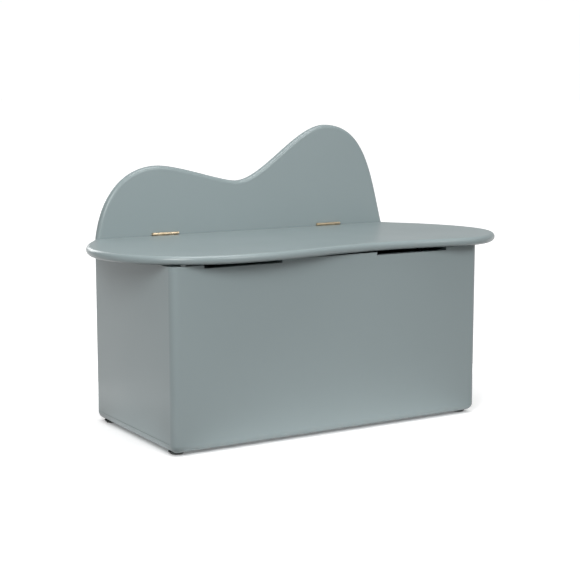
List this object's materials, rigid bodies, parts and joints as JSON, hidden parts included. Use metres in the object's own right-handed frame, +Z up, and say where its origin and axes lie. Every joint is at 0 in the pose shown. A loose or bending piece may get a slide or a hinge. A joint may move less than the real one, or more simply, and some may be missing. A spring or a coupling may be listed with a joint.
{
  "type": "wooden toy box",
  "caption": "Child's storage bench: a painted board box on small feet, with a pebble-shaped hinged lid as its seat, a wave-shaped backrest, butt hinges and telescopic lid stays.",
  "frame": {"origin": "on the floor, at the middle of the footprint of the whole object, the overhanging lid included", "axes": "+Z up, +Y to the back (the backrest's side), +X to the right as seen from the front"},
  "size_m": [0.939, 0.417, 0.632],
  "materials": {
    "painted_board": "satin grey-green paint",
    "dowel_wood": "bare beech",
    "hinge_brass": "polished",
    "zinc_steel": "zinc plated",
    "stay_tube": "black semi-gloss",
    "foot_rubber": "matte dark grey",
    "bumper_plastic": "clear-white"
  },
  "bodies": {
    "box": {"bottom_panel": "painted_board", "front_panel": "painted_board", "back_panel": "painted_board", "left_side_panel": "painted_board", "right_side_panel": "painted_board", "front_left_dowel_1": "dowel_wood", "front_left_dowel_2": "dowel_wood", "front_right_dowel_1": "dowel_wood", "front_right_dowel_2": "dowel_wood", "rear_left_dowel_1": "dowel_wood", "rear_left_dowel_2": "dowel_wood", "rear_right_dowel_1": "dowel_wood", "rear_right_dowel_2": "dowel_wood", "front_left_foot": "foot_rubber", "front_left_foot_screw": "zinc_steel", "front_right_foot": "foot_rubber", "front_right_foot_screw": "zinc_steel", "rear_left_foot": "foot_rubber", "rear_left_foot_screw": "zinc_steel", "rear_right_foot": "foot_rubber", "rear_right_foot_screw": "zinc_steel", "left_bumper": "bumper_plastic", "left_hinge_fixed_leaf": "hinge_brass", "left_hinge_pin": "hinge_brass", "left_hinge_back_screw_1": "hinge_brass", "left_hinge_back_screw_2": "hinge_brass", "left_hinge_back_screw_3": "hinge_brass", "left_stay_side_bracket": "zinc_steel", "left_stay_side_screw_1": "zinc_steel", "left_stay_side_screw_2": "zinc_steel", "right_bumper": "bumper_plastic", "right_hinge_fixed_leaf": "hinge_brass", "right_hinge_pin": "hinge_brass", "right_hinge_back_screw_1": "hinge_brass", "right_hinge_back_screw_2": "hinge_brass", "right_hinge_back_screw_3": "hinge_brass", "right_stay_side_bracket": "zinc_steel", "right_stay_side_screw_1": "zinc_steel", "right_stay_side_screw_2": "zinc_steel"},
    "lid": {"seat_lid": "painted_board", "left_hinge_lid_leaf": "hinge_brass", "left_hinge_lid_screw_1": "hinge_brass", "left_hinge_lid_screw_2": "hinge_brass", "left_hinge_lid_screw_3": "hinge_brass", "left_stay_lid_bracket": "zinc_steel", "left_stay_lid_screw_1": "zinc_steel", "left_stay_lid_screw_2": "zinc_steel", "right_hinge_lid_leaf": "hinge_brass", "right_hinge_lid_screw_1": "hinge_brass", "right_hinge_lid_screw_2": "hinge_brass", "right_hinge_lid_screw_3": "hinge_brass", "right_stay_lid_bracket": "zinc_steel", "right_stay_lid_screw_1": "zinc_steel", "right_stay_lid_screw_2": "zinc_steel"},
    "left_stay_cylinder": {"left_stay_cylinder": "stay_tube"},
    "left_stay_rod": {"left_stay_rod": "zinc_steel"},
    "right_stay_cylinder": {"right_stay_cylinder": "stay_tube"},
    "right_stay_rod": {"right_stay_rod": "zinc_steel"}
  },
  "joints": [
    {"name": "lid_hinge", "type": "hinge", "parent": "box", "child": "lid", "pos_m": [-0.0095, 0.187, 0.4014], "axis": [-1, 0, 0], "range_deg": [0, 80]},
    {"name": "left_cylinder_pivot", "type": "hinge", "parent": "box", "child": "left_stay_cylinder", "pos_m": [-0.3555, 0.1715, 0.202], "axis": [-1, 0, 0], "range_deg": [0, 40]},
    {"name": "left_rod_pivot", "type": "hinge", "parent": "lid", "child": "left_stay_rod", "pos_m": [-0.3555, -0.00984, 0.366], "axis": [-1, 0, 0], "range_deg": [-40, 0]},
    {"name": "right_cylinder_pivot", "type": "hinge", "parent": "box", "child": "right_stay_cylinder", "pos_m": [0.3365, 0.1715, 0.202], "axis": [-1, 0, 0], "range_deg": [0, 40]},
    {"name": "right_rod_pivot", "type": "hinge", "parent": "lid", "child": "right_stay_rod", "pos_m": [0.3365, -0.00984, 0.366], "axis": [-1, 0, 0], "range_deg": [-40, 0]}
  ],
  "couplings": [
    {"joint": "left_cylinder_pivot", "follows": "lid_hinge", "ratio": 0.5},
    {"joint": "left_rod_pivot", "follows": "lid_hinge", "ratio": -0.5},
    {"joint": "right_cylinder_pivot", "follows": "lid_hinge", "ratio": 0.5},
    {"joint": "right_rod_pivot", "follows": "lid_hinge", "ratio": -0.5}
  ]
}
